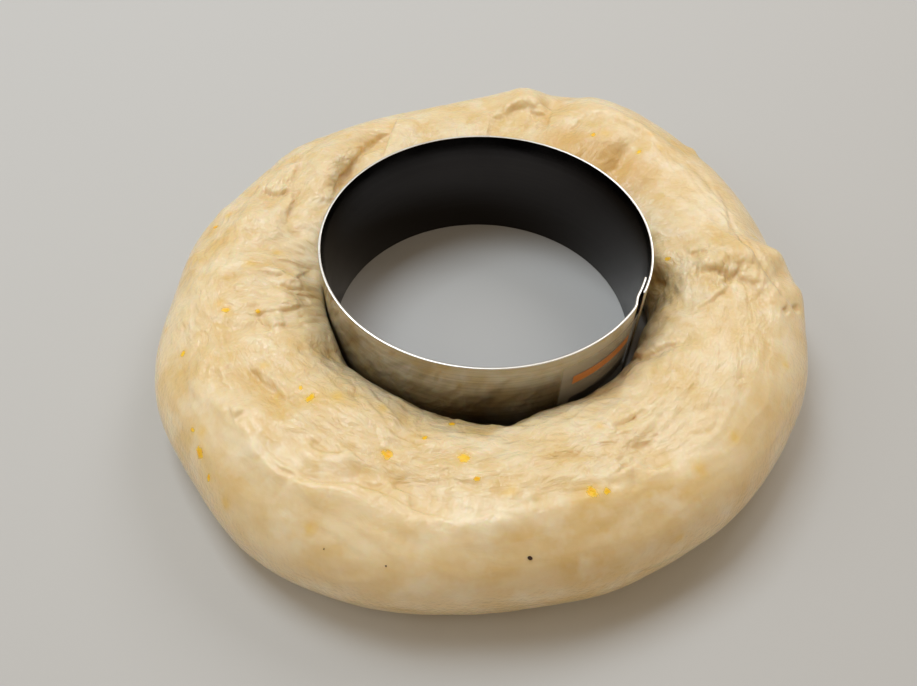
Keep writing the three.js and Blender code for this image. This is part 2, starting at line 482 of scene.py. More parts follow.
# Relief of the skin: scale round the ring and over it, per metre, and height in mm
SWELLS = ((38, 48, 0.7), (85, 110, 0.5), (170, 220, 0.28))
LAYERS = ((20, 52, 0.8), (40, 105, 0.55))
CROSS_LAYERS = ((62, 22, 0.75), (120, 42, 0.5))
CRINKLES = ((110, 260, 0.3), (260, 520, 0.18))
CROSS_CRINKLES = ((260, 80, 0.3), (480, 170, 0.18))
LAYERS_PER_NOISE = 2.6  # how many skins lie over each other from the noise's middle to its end
LAYER_EDGE = 0.2  # share of a skin's width in which it drops to the next
PATCH_SCALE = 28  # per metre, of the noise that says where the skins show
PATCH_LEVEL = 0.55  # how much they show where it is 0
PATCH_GAIN = 1.5
NOISE_STEP = 9.7  # how far apart in the noise two parts of the relief are taken
PULL = 4 * MM  # how far noise draws the relief out of line
PULL_SCALE = 55  # per metre
OUTER_CALM = 0.3  # share of the relief left on the smooth outer side
CALM_RIGHT = 0.3  # share of the relief lost on the smoother right
CALM_LEFT = 0.6  # share of the long skins lost on the left
WORKED_FROM = 72  # degrees over the skin between which it was worked by hand
WORKED_TO = 185
WORKED_SOFT = 40
LOWER_ON_LEFT = 34  # degrees by which the worked part starts further out
LOWER_ON_RIGHT = 14
HOLLOW_PASSES = 26  # rounds of smoothing that give the level a hollow is measured from
HOLLOW_DEPTH = 0.45 * MM  # depth at which a hollow has full painted shade and a ridge full painted highlight


def handled_share(places):
    """How much each point of the skin was worked by hand: most on the crest and the inner slopes."""
    turn, over = way_round(places)
    calm_right = 1 - CALM_RIGHT * np.maximum(window(turn, *CALM_FRONT), window(turn, *CALM_BACK))
    right = np.maximum(window(turn, *RIGHT_PAST_START), window(turn, *RIGHT_TO_START))
    start = WORKED_FROM - LOWER_ON_LEFT * window(turn, *LOW_LEFT) - LOWER_ON_RIGHT * right
    return OUTER_CALM + (1 - OUTER_CALM) * window(over, start, WORKED_TO, WORKED_SOFT) * calm_right


def painted_slope_shade_share(places):
    """Where shade is painted on the dough: the steep inner slope at the back right."""
    turn, over = way_round(places)
    return window(turn, *PAINTED_SHADE_TURN) * window(over, *PAINTED_SHADE_OVER)


def noise_at(points, offset):
    """Smooth noise at each point, about -1 to 1."""
    shift = Vector((offset, 0, 0))
    return np.array([noise.noise(Vector(p) + shift) for p in points])


def layered(values):
    """Skins lying over each other: each rises slowly and ends in a short drop."""
    share = (values * LAYERS_PER_NOISE) % 1
    return np.minimum(share / (1 - LAYER_EDGE), (1 - share) / LAYER_EDGE)


def skin_lift(places):
    """Lift of the skin's own relief: broad swells, skins with one sharp edge, and fine crinkles."""
    pulls = np.array([noise.noise_vector(Vector(p) * PULL_SCALE) for p in places])
    flat = unrolled(places + pulls * PULL)
    radial = radial_share(places)
    long_share = (1 - radial) * (1 - CALM_LEFT * window(way_round(places)[0], *SHORT_LEFT))
    lift = np.zeros(len(places))
    shift = 0.0

    def stretched(scales):
        """The unrolled points, scaled for one part of the noise."""
        return flat * (scales[0], scales[0], scales[1])

    for layer in SWELLS:
        shift += NOISE_STEP
        lift += noise_at(stretched(layer), shift) * layer[2]
    for layers, share in ((LAYERS, long_share), (CROSS_LAYERS, radial)):
        for layer in layers:
            shift += NOISE_STEP
            shown = np.clip(PATCH_LEVEL + PATCH_GAIN * noise_at(places * PATCH_SCALE, shift), 0, 1)
            lift += (layered(noise_at(stretched(layer), shift)) - 0.5) * shown * layer[2] * share
    for layers, share in ((CRINKLES, 1 - radial), (CROSS_CRINKLES, radial)):
        for layer in layers:
            shift += NOISE_STEP
            lift -= 2 * np.abs(noise_at(stretched(layer), shift)) * layer[2] * share
    return lift * MM * handled_share(places)


def shape_dough():
    """The dough with its folds, dents, lumps and wrinkles."""
    dough = dough_blank()
    folds = [(photo_path(dough, pixels), rise, reach, FOLD_EDGE) for pixels, rise, reach in FOLDS]
    folds += [(photo_path(dough, pixels), rise, reach, SOFT_EDGE) for pixels, rise, reach in SOFT_FOLDS]
    lines = [(photo_path(dough, pixels), rise, width) for pixels, rise, width in LINES]
    knobs = [(photo_spot(dough, pixel), rise, radius) for pixel, rise, radius in KNOBS]
    refine(dough, [crease[0] for crease in folds + lines])

    places, _ = points_of(dough)
    calm = np.ones(len(places))
    for pixel, radius in CALM:
        calm = np.minimum(calm, 1 - CALM_SHARE * nearness(places, photo_spot(dough, pixel), radius))
    lift = skin_lift(places) * calm
    for spot, rise, radius in knobs:
        lift += rise * MM * nearness(places, spot, radius)
    torn = np.zeros(len(places))
    for pixel, radius in CRUMPLED:
        torn = np.maximum(torn, nearness(places, photo_spot(dough, pixel), radius))
    lift += torn * np.abs(noise_at(places * CRUMPLE_SCALE, CRUMPLE_SHIFT)) * 2 * CRUMPLE_HEIGHT
    press(dough, lift * room(places))

    places, normals = points_of(dough)
    pulled = wandered(places)
    relief = np.zeros(len(places))
    for path, rise, reach, edge in folds:
        relief += fold_lift(pulled, normals, path, rise, reach, edge)
    for path, rise, width in lines:
        relief += line_lift(pulled, path, rise, width)
    press(dough, relief * room(places))
    return dough


def hollow_depth(piece):
    """How far each point lies under the smoothed skin, 1 in a full hollow and -1 on a full ridge."""
    places, normals = points_of(piece)
    ends = np.empty(len(piece.data.edges) * 2, np.int32)
    piece.data.edges.foreach_get("vertices", ends)
    ends = ends.reshape(-1, 2)
    number = np.bincount(ends.ravel(), minlength=len(places))[:, None]
    level = places.copy()
    for _ in range(HOLLOW_PASSES):
        around = np.zeros_like(level)
        np.add.at(around, ends[:, 0], level[ends[:, 1]])
        np.add.at(around, ends[:, 1], level[ends[:, 0]])
        level = around / number
    depth = np.einsum("ij,ij->i", level - places, normals)
    return np.clip(depth / HOLLOW_DEPTH, -1, 1)


# Steel

SMOOTH_ANGLE = math.radians(50)  # edges flatter than this look smooth
STRIP_THICKNESS = 0.8 * MM
STRIP_SIDES = 240
LAP_TURN = math.radians(-23.6)  # where the outer end of the strip lies
LAP_LENGTH = 6 * MM
LAP_GAP = 0.35 * MM
JOGGLE_LENGTH = 5 * MM  # the step in of the inner end, and how far before the outer end it is done
JOGGLE_LEAD = 1.5 * MM
RIM_BEVEL = 0.22 * MM
RIM_SEGMENTS = 2
RIM_ANGLE = math.radians(60)
RIM_SHARE = 0.6  # share of the bevel's height that gets the painted highlight


def wall(name, radius, low, high, sides, start):
    """An open upright tube round the ring's axis, with a row of points at the start angle."""
    bpy.ops.object.select_all(action="DESELECT")
    bpy.ops.mesh.primitive_cylinder_add(
        vertices=sides,
        radius=radius,
        depth=high - low,
        end_fill_type="NOTHING",
        location=(RING_CENTRE.x, RING_CENTRE.y, (low + high) / 2),
        rotation=(0, 0, start - math.pi / 2),
    )
    piece = bpy.context.active_object
    piece.name = name
    bpy.ops.object.transform_apply(location=True, rotation=True, scale=True)
    return piece


def turn_of(place, start):
    """The angle of a place round the ring's axis, from a start angle, 0 to a full turn."""
    return (math.atan2(place.y - RING_CENTRE.y, place.x - RING_CENTRE.x) - start) % (2 * math.pi)


def cut_past(piece, start, limit):
    """Deletes the faces of a piece that lie further round from a start angle than a limit."""
    deselect_mesh()
    for face in piece.data.polygons:
        face.select = turn_of(face.center, start) > limit
    bpy.ops.object.mode_set(mode="EDIT")
    bpy.ops.mesh.delete(type="FACE")
    bpy.ops.object.mode_set(mode="OBJECT")


def shape_steel():
    """The strip rolled into a ring: its inner end steps in by one layer and runs on behind the outer end."""
    mean = RING_RADIUS - STRIP_THICKNESS / 2
    strip = wall("steel_pastry_ring", mean, 0, RING_HEIGHT, STRIP_SIDES, LAP_TURN)
    pitch = 2 * math.pi / STRIP_SIDES
    step_start = 2 * math.pi - (JOGGLE_LEAD + JOGGLE_LENGTH) / mean
    end_turn = math.floor(step_start / pitch) * pitch
    cut_past(strip, LAP_TURN, end_turn)
    deselect_mesh()
    for edge in strip.data.edges:
        ends = [strip.data.vertices[i] for i in edge.vertices]
        edge.select = all(abs(turn_of(v.co, LAP_TURN) - end_turn) < pitch / 4 for v in ends)
    bpy.ops.object.mode_set(mode="EDIT")
    bpy.ops.mesh.select_mode(type="EDGE")

    def spot(turn):
        """The inner end's path: in by one layer over the step, then on inside the start."""
        share = min(max((turn - step_start) * mean / JOGGLE_LENGTH, 0), 1)
        radius = mean - (STRIP_THICKNESS + LAP_GAP) * eased(share)
        return Vector((math.cos(turn + LAP_TURN), math.sin(turn + LAP_TURN), 0)) * radius

    turn = end_turn
    while turn < 2 * math.pi + LAP_LENGTH / mean:
        move = spot(turn + pitch) - spot(turn)
        bpy.ops.mesh.extrude_region_move(TRANSFORM_OT_translate={"value": move})
        turn += pitch
    bpy.ops.mesh.select_all(action="SELECT")
    bpy.ops.mesh.normals_make_consistent(inside=False)
    bpy.ops.object.mode_set(mode="OBJECT")
    apply(strip, "SOLIDIFY", thickness=STRIP_THICKNESS, offset=0, use_even_offset=True)
    rounding = {"limit_method": "ANGLE", "angle_limit": RIM_ANGLE}
    apply(strip, "BEVEL", width=RIM_BEVEL, segments=RIM_SEGMENTS, **rounding)
    select_only(strip)
    bpy.ops.object.shade_smooth_by_angle(angle=SMOOTH_ANGLE)
    places, _ = points_of(strip)
    reach = np.hypot(places[:, 0] - RING_CENTRE.x, places[:, 1] - RING_CENTRE.y)
    store(strip, "inside", (reach < mean).astype(float))
    store(strip, "rim", (places[:, 2] > RING_HEIGHT - RIM_SHARE * RIM_BEVEL).astype(float))
    return strip


# Film label

LABEL_TURN = math.radians(-63)  # where the film starts and ends round the ring
LABEL_END = math.radians(-27)
LABEL_LOW = 7 * MM
LABEL_HIGH = 35 * MM
LABEL_THICKNESS = 0.08 * MM
LABEL_LIFT = 0.06 * MM
LABEL_CUTS = 3


def shape_label():
    """A clear film that follows the ring's outer wall."""
    radius = RING_RADIUS + LABEL_LIFT + LABEL_THICKNESS / 2
    label = wall("film_label", radius, LABEL_LOW, LABEL_HIGH, STRIP_SIDES, LABEL_TURN)
    span = LABEL_END - LABEL_TURN
    cut_past(label, LABEL_TURN, span)
    bpy.ops.object.mode_set(mode="EDIT")
    bpy.ops.mesh.select_all(action="SELECT")
    bpy.ops.mesh.subdivide(number_cuts=LABEL_CUTS)
    bpy.ops.object.mode_set(mode="OBJECT")
    apply(label, "SOLIDIFY", thickness=LABEL_THICKNESS, offset=0)
    select_only(label)
    bpy.ops.object.shade_smooth_by_angle(angle=SMOOTH_ANGLE)
    places, _ = points_of(label)
    turns = np.array([turn_of(Vector(p), LABEL_TURN) for p in places])
    turns[turns > math.pi] = 0  # points a hair before the start
    heights = (places[:, 2] - LABEL_LOW) / (LABEL_HIGH - LABEL_LOW)
    store(label, "sheet", np.column_stack((turns / span, heights, np.zeros(len(places)))))
    return label


# Zest

# Photo point of each fleck on the skin, with its length and width in mm
ZEST = (
    ((226, 310), 2.0, 1.5),
    ((258, 311), 1.2, 0.9),
    ((216, 227), 1.2, 0.8),
    ((183, 354), 1.4, 0.9),
    ((668, 259), 1.5, 1.1),
    ((593, 135), 1.6, 1.1),
    ((639, 152), 1.5, 1.0),
    ((200, 453), 2.6, 2.0),
    ((209, 478), 1.6, 1.1),
    ((193, 430), 1.4, 0.8),
    ((310, 398), 2.6, 1.4),
    ((301, 388), 1.2, 0.9),
    ((425, 438), 1.3, 0.9),
    ((452, 424), 1.4, 0.9),
    ((387, 455), 2.4, 1.9),
    ((464, 458), 2.5, 2.0),
    ((477, 479), 1.3, 1.0),
    ((592, 492), 2.6, 2.2),
    ((607, 491), 1.6, 1.2),
)
# Photo points of peel that only shows through the skin, with the size of its stain in mm
BURIED_ZEST = (
    ((220, 303), 2.0),
    ((229, 215), 1.8),
    ((166, 330), 1.4),
    ((249, 263), 2.0),
    ((277, 253), 1.6),
    ((264, 366), 1.6),
    ((604, 133), 2.6),
    ((651, 134), 1.4),
    ((659, 147), 1.4),
    ((756, 238), 1.6),
    ((662, 310), 1.6),
    ((225, 504), 2.0),
    ((310, 528), 2.0),
    ((338, 396), 2.6),
    ((383, 408), 2.0),
    ((277, 396), 1.8),
    ((511, 491), 1.8),
    ((202, 431), 2.2),
    ((600, 426), 1.6),
    ((699, 468), 2.2),
    ((735, 438), 2.0),
    ((786, 365), 1.6),
    ((680, 538), 1.6),
)
SPECKS = (((530, 558), 0.8), ((386, 566), 0.3), ((324, 549), 0.25))
UNSEEN_ZEST = 18  # flecks on the outer side that faces away from the camera
UNSEEN_TURNS = (35, 150)  # degrees round the ring between which they lie
UNSEEN_HEIGHTS = (5, 20)  # mm
UNSEEN_LENGTHS = (1.1, 2.2)  # mm
UNSEEN_WIDTHS = (0.5, 0.8)  # as shares of the length
WELL_OUTSIDE = 0.2  # metres from the ring's axis, clear of the dough
ZEST_THICKNESS = 0.07  # mm
FLECK_RADIUS = 0.5 * MM
FLECK_SPREAD = 1.45  # how much wider a fleck is cut than it looks, as its edge fades
FLECK_SIDES = 24
FLECK_CUTS = 3
FLECK_RAGGED = 0.5 * MM
FLECK_EDGE_SIZES = (("X", 0.9), ("Y", 1.1))  # mm
SPECK_THICKNESS = 0.15  # mm
SPECK_RAGGED = 0.1 * MM
SPECK_WIDTH = 0.8  # as a share of the length
STAIN_REACH = 0.8  # radius of the stain round a fleck, as a share of its length


def fleck(dough, spot, normal, size, thickness, turn, ragged):
    """One thin fleck that follows the skin, its edge more or less torn."""
    facing = normal.to_track_quat("Z", "Y").to_matrix()
    bpy.ops.mesh.primitive_circle_add(
        vertices=FLECK_SIDES,
        radius=FLECK_RADIUS,
        fill_type="TRIFAN",
        location=spot,
        rotation=(facing @ Matrix.Rotation(turn, 3, "Z")).to_euler(),
    )
    piece = bpy.context.active_object
    piece.scale = (size[0] * FLECK_SPREAD, size[1] * FLECK_SPREAD, 1)
    bpy.ops.object.mode_set(mode="EDIT")
    bpy.ops.mesh.subdivide(number_cuts=FLECK_CUTS)
    bpy.ops.object.mode_set(mode="OBJECT")
    places, _ = points_of(piece)
    store(piece, "edge", np.hypot(places[:, 0], places[:, 1]) / FLECK_RADIUS)
    for axis, _ in FLECK_EDGE_SIZES:
        edges = bpy.data.textures["fleck_edges_" + axis]
        torn = {"texture": edges, "texture_coords": "GLOBAL", "direction": axis}
        modify(piece, "DISPLACE", strength=ragged, mid_level=0.5, **torn)
    modify(piece, "SHRINKWRAP", target=dough, wrap_mode="ABOVE_SURFACE", offset=thickness * MM)
    modify(piece, "SOLIDIFY", thickness=2 * thickness * MM, offset=-1)
    return piece


def join(pieces, name):
    """Several meshes as one piece, placed in its mesh."""
    bpy.ops.object.select_all(action="DESELECT")
    for piece in pieces:
        piece.select_set(True)
    bpy.context.view_layer.objects.active = pieces[0]
    bpy.ops.object.convert(target="MESH")
    bpy.ops.object.join()
    whole = bpy.context.active_object
    whole.name = name
    bpy.ops.object.transform_apply(location=True, rotation=True, scale=True)
    bpy.ops.object.shade_smooth_by_angle(angle=SMOOTH_ANGLE)
    return whole


def unseen_spots(dough, draw):
    """Seeded places on the outer skin behind the ring, found from outside."""
    spots = []
    while len(spots) < UNSEEN_ZEST:
        turn = math.radians(draw.uniform(*UNSEEN_TURNS))
        height = draw.uniform(*UNSEEN_HEIGHTS) * MM
        outside = Vector((math.cos(turn), math.sin(turn), 0))
        start = RING_CENTRE + outside * WELL_OUTSIDE + UP * height
        met, spot, normal, _ = dough.ray_cast(start, -outside)
        if met:
            spots.append((spot, normal))
    return spots


def shape_flecks(dough):
    """The zest and the dark specks that lie on the skin, and the spots that peel has stained."""
    for axis, size in FLECK_EDGE_SIZES:
        edges = bpy.data.textures.new("fleck_edges_" + axis, "CLOUDS")
        edges.noise_scale = size * MM
    draw = random.Random(SEED)
    zest = []
    spots = []
    for pixel, length, width in ZEST:
        spot, normal = on_photo(dough, *pixel)
        spots.append((spot, length))
        turn = draw.uniform(0, math.pi)
        zest.append(fleck(dough, spot, normal, (length, width), ZEST_THICKNESS, turn, FLECK_RAGGED))
    for spot, normal in unseen_spots(dough, draw):
        length = draw.uniform(*UNSEEN_LENGTHS)
        spots.append((spot, length))
        turn = draw.uniform(0, math.pi)
        width = length * draw.uniform(*UNSEEN_WIDTHS)
        zest.append(fleck(dough, spot, normal, (length, width), ZEST_THICKNESS, turn, FLECK_RAGGED))
    for pixel, size in BURIED_ZEST:
        spots.append((on_photo(dough, *pixel)[0], size))
    specks = []
    for pixel, size in SPECKS:
        spot, normal = on_photo(dough, *pixel)
        turn = draw.uniform(0, math.pi)
        shape = (size, size * SPECK_WIDTH)
        specks.append(fleck(dough, spot, normal, shape, SPECK_THICKNESS, turn, SPECK_RAGGED))
    return join(zest, "orange_zest"), join(specks, "dark_specks"), spots


# Materials

def paint(red, green, blue):
    """A display colour from 0 to 255 as linear light."""
    linear = []
    for value in (red / 255, green / 255, blue / 255):
        linear.append(value / 12.92 if value <= 0.04045 else ((value + 0.055) / 1.055) ** 2.4)
    return (*linear, 1)


class Nodes:
    """A shader's node tree, with short ways to add and link its nodes."""

    def __init__(self, tree):
        self.tree = tree

    def add(self, kind, inputs, **settings):
        """A node with its settings, each input a value or another node's output."""
        node = self.tree.nodes.new(kind)
        for key, value in settings.items():
            setattr(node, key, value)
        for key, value in inputs.items():
            self.give(node.inputs[key], value)
        return node

    def give(self, socket, value):
        """Links an output to a socket, or sets the socket to a value."""
        if isinstance(value, bpy.types.NodeSocket):
            self.tree.links.new(value, socket)
        else:
            socket.default_value = value

    def place(self):
        """Object coordinates."""
        return self.add("ShaderNodeTexCoord", {}).outputs["Object"]

    def kept(self, name, output="Fac"):
        """A value kept on the mesh."""
        return self.add("ShaderNodeAttribute", {}, attribute_name=name).outputs[output]

    def scaled(self, vector, scale):
        """A vector scaled along its axes."""
        return self.add("ShaderNodeMapping", {"Vector": vector, "Scale": scale}).outputs["Vector"]

    def noise(self, vector, scale, detail, roughness=0.5, distortion=0.0):
        """Noise from 0 to 1."""
        inputs = {
            "Vector": vector,
            "Scale": scale,
            "Detail": detail,
            "Roughness": roughness,
            "Distortion": distortion,
        }
        return self.add("ShaderNodeTexNoise", inputs).outputs["Fac"]

    def math(self, operation, a, b=0.0, c=0.0):
        """A sum, product, power or comparison."""
        return self.add("ShaderNodeMath", {0: a, 1: b, 2: c}, operation=operation).outputs[0]

    def spread(self, value, low, high, to_low=0.0, to_high=1.0):
        """A value mapped from one span to another and held inside it."""
        inputs = {"Value": value, "From Min": low, "From Max": high, "To Min": to_low, "To Max": to_high}
        return self.add("ShaderNodeMapRange", inputs).outputs["Result"]

    def blend(self, share, a, b):
        """A value between two values."""
        return self.add("ShaderNodeMix", {0: share, 2: a, 3: b}).outputs[0]

    def mix(self, share, a, b):
        """A colour between two colours."""
        node = self.add("ShaderNodeMix", {0: share, 6: a, 7: b}, data_type="RGBA")
        return node.outputs[2]

    def bump(self, height, strength, distance):
        """A normal raised by a height."""
        inputs = {"Height": height, "Strength": strength, "Distance": distance}
        return self.add("ShaderNodeBump", inputs).outputs["Normal"]


# Inputs of the group for a gloss that varies in patches: the noise's scale and detail, then the noise at
# which the roughness starts and ends, and the roughness at each
GLOSS_INPUTS = ("Scale", "Detail", "Start", "End", "Roughness at Start", "Roughness at End")


def gloss_group():
    """The shader group that the materials share: noise over a surface and the roughness that it gives."""
    tree = bpy.data.node_groups.new("patchy_gloss", "ShaderNodeTree")
    tree.interface.new_socket("Place", in_out="INPUT", socket_type="NodeSocketVector")
    for name in GLOSS_INPUTS:
        tree.interface.new_socket(name, in_out="INPUT", socket_type="NodeSocketFloat")
    for name in ("Noise", "Roughness"):
        tree.interface.new_socket(name, in_out="OUTPUT", socket_type="NodeSocketFloat")
    nodes = Nodes(tree)
    given = nodes.add("NodeGroupInput", {}).outputs
    scale, detail, *limits = [given[name] for name in GLOSS_INPUTS]
    patches = nodes.noise(given["Place"], scale, detail)
    nodes.add("NodeGroupOutput", {"Noise": patches, "Roughness": nodes.spread(patches, *limits)})
    return tree


PATCHY_GLOSS = gloss_group()


class Shader(Nodes):
    """A material with its node tree."""

    def __init__(self, name):
        self.material = bpy.data.materials.new(name)
        self.material.use_nodes = True
        super().__init__(self.material.node_tree)
        self.surface = self.tree.nodes["Principled BSDF"]

    def finish(self, **inputs):
        """Feeds the surface shader."""
        for key, value in inputs.items():
            self.give(self.surface.inputs[key.replace("_", " ")], value)

    def gloss(self, place, noise, limits):
        """The shared group's noise at a place, and the roughness that it gives between limits."""
        inputs = {"Place": place, **dict(zip(GLOSS_INPUTS, (*noise, *limits)))}
        node = self.add("ShaderNodeGroup", inputs, node_tree=PATCHY_GLOSS)
        return node.outputs["Noise"], node.outputs["Roughness"]


CREAM = paint(244, 223, 181)
# Pale stretched skin, also used as the painted highlight on ridges
PALE_SKIN_AND_RIDGE_HIGHLIGHT = paint(250, 236, 206)
BUTTER = paint(231, 198, 130)
# Painted shade: a warm darker colour laid in hollows and on the steep inner slope at the back right
PAINTED_SHADE_TAN = paint(224, 182, 108)
ZEST_HALO = paint(240, 200, 92)
STEEL_OUTSIDE = paint(168, 164, 156)
# Painted shade: the inner wall darker, in place of dark reflections within the ring
STEEL_INSIDE_PAINTED_SHADE = paint(58, 55, 54)
ROLL_MARKS = paint(70, 68, 66)
# Painted highlight along the steel's top rim
RIM_PAINTED_HIGHLIGHT = paint(232, 231, 228)
DEEP_PEEL = paint(255, 188, 6)
LIGHT_PEEL = paint(255, 214, 40)
DARK_BRAN = paint(38, 24, 18)
LIGHT_BRAN = paint(70, 46, 30)
CLEAR_FILM = paint(220, 220, 216)
FILM_ORANGE = paint(206, 132, 72)
FILM_DARK = paint(52, 50, 50)

# Noises of the dough: scale per metre, detail, then roughness and distortion where they are set
PATCHES = (60, 4, 0.6)
BLOTCHES = (110, 3, 0.55)
GLOSS = (160, 2)
GLINTS = (900, 2)
STREAKS = (1, 2, 0.5, 0.6)
FINE_CRINKLES = (1, 5, 0.52, 0.6)
# Scales of the last two round the ring, twice, and over it, for skin drawn out along it and across it
STREAKS_ALONG = (40, 40, 200)
STREAKS_ACROSS = (200, 200, 50)
FINE_ALONG = (150, 150, 260)
FINE_ACROSS = (260, 260, 150)
# Noise or depth at which a colour starts and is full, and its share at each
BUTTER_PATCHES = (0.36, 0.66)
PALE_BLOTCHES = (0.5, 0.68, 0, 0.6)
PALE_STREAKS = (0.48, 0.7, 0, 0.25)
# Painted highlight on ridges
RIDGE_PAINTED_HIGHLIGHT = (0, -1, 0, 0.15)
# Painted shade in hollows
HOLLOW_PAINTED_SHADE = (0.1, 1, 0, 0.34)
PAINTED_SHADE_DEPTH = 0.8  # share of painted shade on the steep inner slope at the back right, and of the halo round peel
STAIN_DEPTH = 0.65
CRINKLE_POWER = 2  # makes the calm skin smoother still
WET_CRINKLES = 0.25  # heights in the wet film over the dough
WET_GRAIN = 0.24
# Noise at which a roughness starts and ends, and the roughness at each
DOUGH_ROUGHNESS = (0.3, 0.7, 0.36, 0.52)
STEEL_ROUGHNESS = (0.35, 0.7, 0.12, 0.26)
ZEST_ROUGHNESS = (0.3, 0.7, 0.35, 0.5)
SPECK_ROUGHNESS = (0.3, 0.7, 0.5, 0.7)
FILM_ROUGHNESS = (0.3, 0.7, 0.12, 0.24)
RIM_ROUGHNESS = 0.2  # added on the steel's rim
# Noises, scales and shades of the steel, the peel, the bran and the film, in the forms above
ROLL_STRETCH = (14, 14, 1600)
ROLL_NOISE = (1, 4, 0.6)
ROLL_SHADES = (0.45, 0.8, 0, 0.35)
SMEARS = (60, 3)
PEEL_NOISE = (900, 3)
PEEL_GRAIN = (2500, 2)
PEEL_SHADES = (0.35, 0.65)
SOAKED_EDGE = (0.55, 1)
FADING_EDGE = (0.75, 1, 1, 0)
BRAN_NOISE = (1200, 3)
FILM_WEAR = (500, 3)
FILM_ALPHA = (0, 1, 0.16, 0.92)  # bare and printed
# Limits of the print, as shares of the film's length and height
PRINT_LENGTH = (0.12, 0.86)
STRIPE_HEIGHT = (0.68, 0.8)
BAND_HEIGHT = (0.3, 0.44)


def dough_material():
    """Moist raw dough: pale stretched skin over butter yellow, with painted shade in the creases and at the
    back right, and painted highlight on ridges.
    """
    shader = Shader("raw_dough")
    place = shader.place()
    flow = shader.kept("flow", "Vector")
    radial = shader.kept("radial")
    patches = shader.noise(place, *PATCHES)
    along = shader.noise(shader.scaled(flow, STREAKS_ALONG), *STREAKS)
    across = shader.noise(shader.scaled(flow, STREAKS_ACROSS), *STREAKS)
    streaks = shader.blend(radial, along, across)
    long_crinkle = shader.noise(shader.scaled(flow, FINE_ALONG), *FINE_CRINKLES)
    cross_crinkle = shader.noise(shader.scaled(flow, FINE_ACROSS), *FINE_CRINKLES)
    worked = shader.math("POWER", shader.kept("handled"), CRINKLE_POWER)
    crinkle = shader.math("MULTIPLY", shader.blend(radial, long_crinkle, cross_crinkle), worked)
    hollow = shader.kept("hollow")
    colour = shader.mix(shader.spread(patches, *BUTTER_PATCHES), CREAM, BUTTER)
    blotches = shader.noise(place, *BLOTCHES)
    colour = shader.mix(shader.spread(blotches, *PALE_BLOTCHES), colour, PALE_SKIN_AND_RIDGE_HIGHLIGHT)
    colour = shader.mix(shader.spread(streaks, *PALE_STREAKS), colour, PALE_SKIN_AND_RIDGE_HIGHLIGHT)
    # Painted highlight on ridges
    colour = shader.mix(shader.spread(hollow, *RIDGE_PAINTED_HIGHLIGHT), colour, PALE_SKIN_AND_RIDGE_HIGHLIGHT)
    # Painted shade in hollows
    colour = shader.mix(shader.spread(hollow, *HOLLOW_PAINTED_SHADE), colour, PAINTED_SHADE_TAN)
    # Painted shade on the steep inner slope at the back right
    colour = shader.mix(shader.math("MULTIPLY", shader.kept("painted_slope_shade"), PAINTED_SHADE_DEPTH), colour, PAINTED_SHADE_TAN)
    colour = shader.mix(shader.math("MULTIPLY", shader.kept("stain"), STAIN_DEPTH), colour, ZEST_HALO)
    _, roughness = shader.gloss(place, GLOSS, DOUGH_ROUGHNESS)
    wet_crinkles = shader.math("MULTIPLY", crinkle, WET_CRINKLES)
    glints = shader.math("MULTIPLY_ADD", shader.noise(place, *GLINTS), WET_GRAIN, wet_crinkles)
    shader.finish(
        Base_Color=colour,
        Roughness=roughness,
        Normal=shader.bump(crinkle, strength=0.7, distance=2 * MM),
        Subsurface_Weight=0.5,
        Subsurface_Radius=(1.0, 0.6, 0.25),
        Subsurface_Scale=2 * MM,
        Specular_IOR_Level=0.4,
        Coat_Weight=0.65,
        Coat_Roughness=0.16,
        Coat_Normal=shader.bump(glints, strength=0.9, distance=2 * MM),
    )
    return shader.material


def steel_material():
    """Polished steel with fine marks from the rolls, duller and darker inside, where the darkness is painted
    shade and painted dark reflection.
    """
    shader = Shader("polished_steel")
    place = shader.place()
    rolled = shader.noise(shader.scaled(place, ROLL_STRETCH), *ROLL_NOISE)
    _, roughness = shader.gloss(place, SMEARS, STEEL_ROUGHNESS)
    inside = shader.kept("inside")
    # The darker inner wall is painted shade and painted reflection
    tone = shader.mix(inside, STEEL_OUTSIDE, STEEL_INSIDE_PAINTED_SHADE)
    tone = shader.mix(shader.spread(rolled, *ROLL_SHADES), tone, ROLL_MARKS)
    # Painted highlight on the rim
    rim = shader.kept("rim")
    tone = shader.mix(rim, tone, RIM_PAINTED_HIGHLIGHT)
    shader.finish(
        Base_Color=tone,
        Metallic=1.0,
        Roughness=shader.math("MULTIPLY_ADD", rim, RIM_ROUGHNESS, roughness),
        Normal=shader.bump(rolled, strength=0.12, distance=0.05 * MM),
    )
    return shader.material


def zest_material():
    """Grated orange peel, soaked at its edges, that lets the light through to the dough under it."""
    shader = Shader("orange_zest")
    place = shader.place()
    shade, roughness = shader.gloss(place, PEEL_NOISE, ZEST_ROUGHNESS)
    edge = shader.kept("edge")
    peel = shader.mix(shader.spread(shade, *PEEL_SHADES), DEEP_PEEL, LIGHT_PEEL)
    seen = shader.add("ShaderNodeLightPath", {}).outputs["Is Camera Ray"]
    shader.finish(
        Base_Color=shader.mix(shader.spread(edge, *SOAKED_EDGE), peel, ZEST_HALO),
        Alpha=shader.math("MULTIPLY", shader.spread(edge, *FADING_EDGE), seen),
        Roughness=roughness,
        Normal=shader.bump(shader.noise(place, *PEEL_GRAIN), strength=0.4, distance=0.1 * MM),
    )
    return shader.material


def speck_material():
    """Dark bran specks."""
    shader = Shader("dark_specks")
    shade, roughness = shader.gloss(shader.place(), BRAN_NOISE, SPECK_ROUGHNESS)
    shader.finish(
        Base_Color=shader.mix(shade, DARK_BRAN, LIGHT_BRAN),
        Roughness=roughness,
        Normal=shader.bump(shade, strength=0.4, distance=0.1 * MM),
    )
    return shader.material


